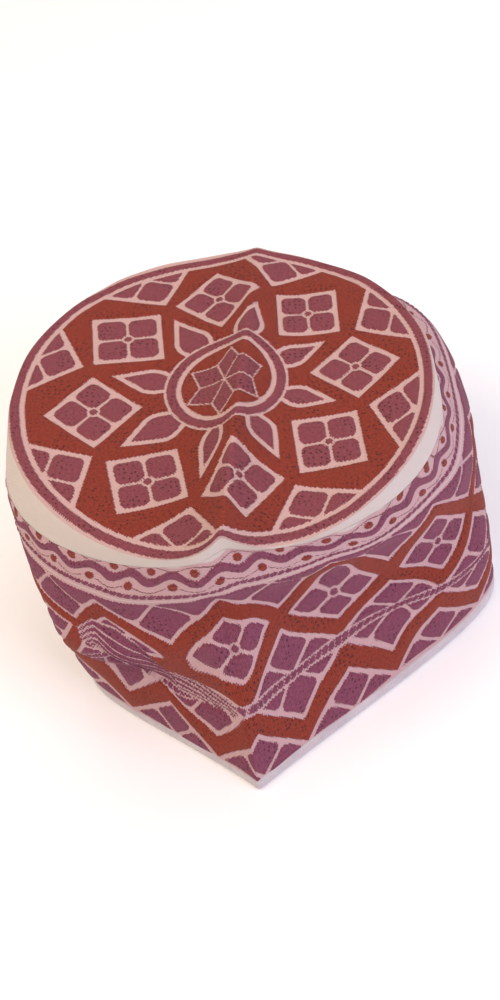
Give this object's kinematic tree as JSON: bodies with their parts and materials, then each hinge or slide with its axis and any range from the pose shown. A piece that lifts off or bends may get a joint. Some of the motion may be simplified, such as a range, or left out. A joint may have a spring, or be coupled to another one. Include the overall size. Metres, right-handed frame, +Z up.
{
  "type": "omani cap",
  "caption": "Stiff round embroidered cotton cap (kummah) with a flat crown, a tall side band folded to a sharp crease in front, and a plain hem; it stands on its rim.",
  "frame": {"origin": "centre of the bounding box's base, in the plane of the rim that the cap rests on", "axes": "+Z up through the crown, -Y towards the sharp upright crease in front, +X to the right as seen from in front"},
  "size_m": [0.1882, 0.2066, 0.1243],
  "materials": {
    "crown_embroidered_cotton": "matte cotton covered in rust and mauve satin stitch with cream outlines",
    "band_embroidered_cotton": "matte cotton covered in mauve and rust satin stitch with cream outlines",
    "plain_hem_cotton": "plain cream woven cotton, matte"
  },
  "bodies": {
    "root": {"crown": "crown_embroidered_cotton", "side_band": "band_embroidered_cotton", "rim_hem": "plain_hem_cotton"}
  },
  "joints": []
}
